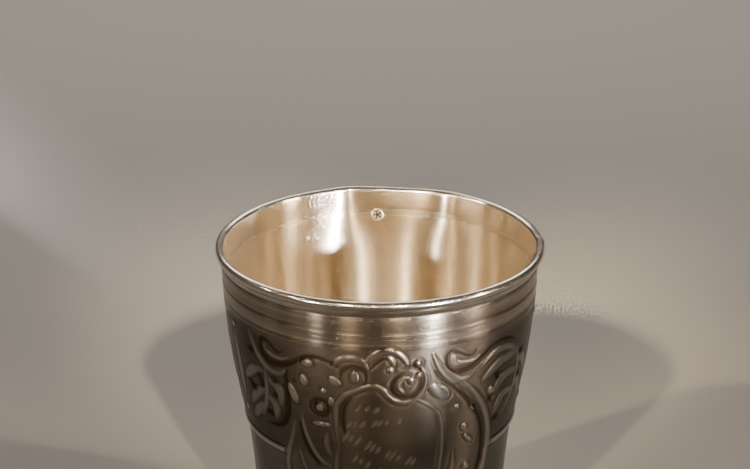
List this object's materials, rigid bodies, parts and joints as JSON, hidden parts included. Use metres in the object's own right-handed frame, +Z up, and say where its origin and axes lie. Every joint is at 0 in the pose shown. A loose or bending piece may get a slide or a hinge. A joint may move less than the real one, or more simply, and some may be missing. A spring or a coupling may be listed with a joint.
{
  "type": "silver beaker",
  "caption": "Flared silver drinking beaker with a rolled lip, a chased band of scrollwork over a fillet, a framed front cartouche and a low moulded foot.",
  "frame": {"origin": "middle of the flat underside, where the beaker stands", "axes": "+Z up along the beaker's axis, the cartouche on the front faces -Y"},
  "size_m": [0.07, 0.0698, 0.078],
  "materials": {
    "silver": "worn polished silver with a warm patina, darker in the chased lines, warm gilt tone inside"
  },
  "bodies": {
    "root": {"beaker": "silver"}
  },
  "joints": []
}
